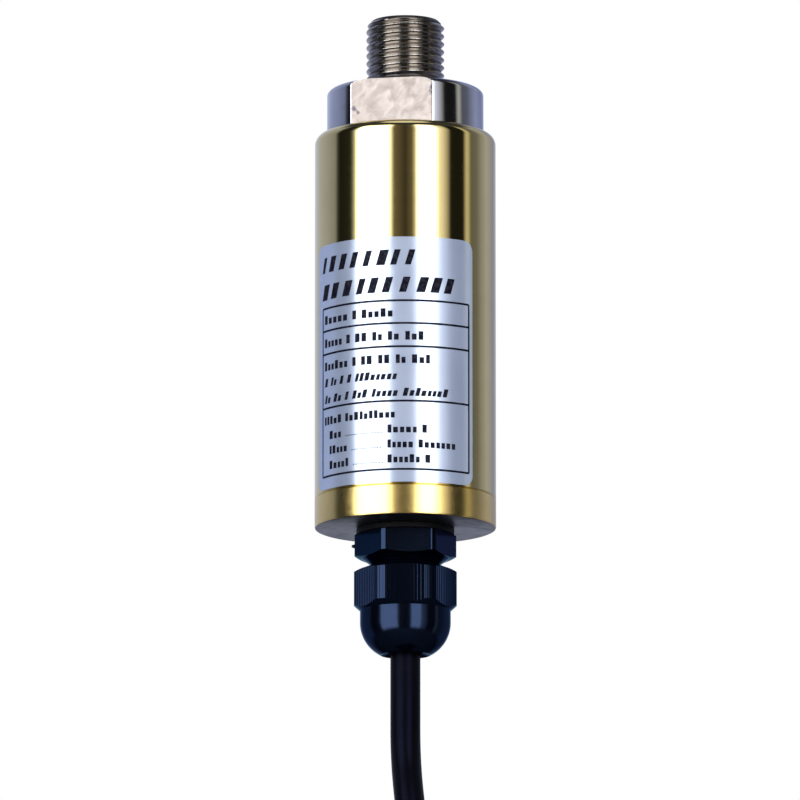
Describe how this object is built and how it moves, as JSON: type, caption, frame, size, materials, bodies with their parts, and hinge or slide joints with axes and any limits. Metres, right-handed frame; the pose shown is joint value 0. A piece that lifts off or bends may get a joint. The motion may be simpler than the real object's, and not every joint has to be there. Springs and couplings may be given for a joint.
{
  "type": "pressure transmitter",
  "caption": "Slim cylindrical pressure transmitter: threaded steel port with spanner flats, brass-coloured housing with foil label, black cable gland and bare-ended cable.",
  "frame": {"origin": "centre of the port's sealing shoulder, where the thread meets the collar", "axes": "+Z along the axis towards the thread's tip, -Y out of the label and the front spanner flat"},
  "size_m": [0.0376, 0.0301, 0.2617],
  "materials": {
    "port_steel": "turned and polished stainless steel, the spanner flats milled",
    "cell_steel": "ground stainless steel",
    "seal_rubber": "black nitrile rubber",
    "gold_pins": "gold-plated pins",
    "housing_brass": "polished, pale brass colour",
    "cap_brass": "fine-turned brass colour, bare grey underside",
    "label_foil": "satin silver foil with black ruled print",
    "board_laminate": "green solder mask on glass-fibre laminate",
    "bracket_steel": "bent and plated sheet",
    "screw_steel": "plated pan-head screws",
    "trimmer_blue": "moulded blue plastic",
    "rotor_white": "moulded white plastic",
    "chip_black": "moulded epoxy with tinned leads",
    "diode_glass": "glass body with tinned caps",
    "can_aluminium": "bare aluminium can on a black base",
    "ceramic_tan": "fired ceramic",
    "gland_nylon": "moulded black nylon",
    "insert_nylon": "moulded black nylon fingers",
    "core_red": "red insulation",
    "core_black": "black insulation",
    "core_white": "white insulation",
    "solder_tin": "bright solder",
    "cable_jacket": "black jacket, smooth, slight sheen",
    "tie_nylon": "black nylon strap"
  },
  "bodies": {
    "root": {"process_port": "port_steel", "port_o_ring": "seal_rubber", "sensor_cell": "cell_steel", "sensor_diaphragm": "cell_steel", "sensor_o_ring": "seal_rubber", "sensor_retaining_ring": "cell_steel", "sensor_pins": "gold_pins", "housing_tube": "housing_brass", "rating_label": "label_foil", "end_cap": "cap_brass", "cap_o_ring": "seal_rubber", "circuit_board": "board_laminate", "board_bracket_left": "bracket_steel", "board_bracket_right": "bracket_steel", "bracket_screws": "screw_steel", "board_screws": "screw_steel", "zero_trimmer_body": "trimmer_blue", "span_trimmer_body": "trimmer_blue", "amplifier_chip": "chip_black", "output_transistor": "chip_black", "protection_diode": "diode_glass", "chip_resistors": "chip_black", "electrolytic_capacitor": "can_aluminium", "ceramic_capacitors": "ceramic_tan", "gland_gasket": "seal_rubber", "gland_body": "gland_nylon", "gland_seal": "seal_rubber", "core_red": "core_red", "core_black": "core_black", "core_white": "core_white", "solder_joints": "solder_tin", "cable_lead": "cable_jacket", "cable_hank": "cable_jacket", "hank_tie": "tie_nylon", "end_core_red": "core_red", "end_core_black": "core_black", "end_core_white": "core_white"},
    "insert": {"clamp_insert": "insert_nylon"},
    "nut": {"gland_nut": "gland_nylon"},
    "zero_rotor": {"zero_trimmer_rotor": "rotor_white"},
    "span_rotor": {"span_trimmer_rotor": "rotor_white"}
  },
  "joints": [
    {"name": "gland_advance", "type": "slide", "parent": "root", "child": "insert", "axis": [0, 0, -1], "range_m": [0, 0.0045]},
    {"name": "gland_nut_turn", "type": "hinge", "parent": "insert", "child": "nut", "pos_m": [0, 0, -0.085], "axis": [0, 0, -1], "range_deg": [0, 1080]},
    {"name": "zero_adjust", "type": "hinge", "parent": "root", "child": "zero_rotor", "pos_m": [-0.0046, -0.0056, -0.0365], "axis": [0, -1, 0], "range_deg": [-135, 135]},
    {"name": "span_adjust", "type": "hinge", "parent": "root", "child": "span_rotor", "pos_m": [0.0046, -0.0056, -0.0365], "axis": [0, -1, 0], "range_deg": [-135, 135]}
  ],
  "couplings": [
    {"joint": "gland_nut_turn", "follows": "gland_advance", "rad_per_m": 4188.8}
  ]
}
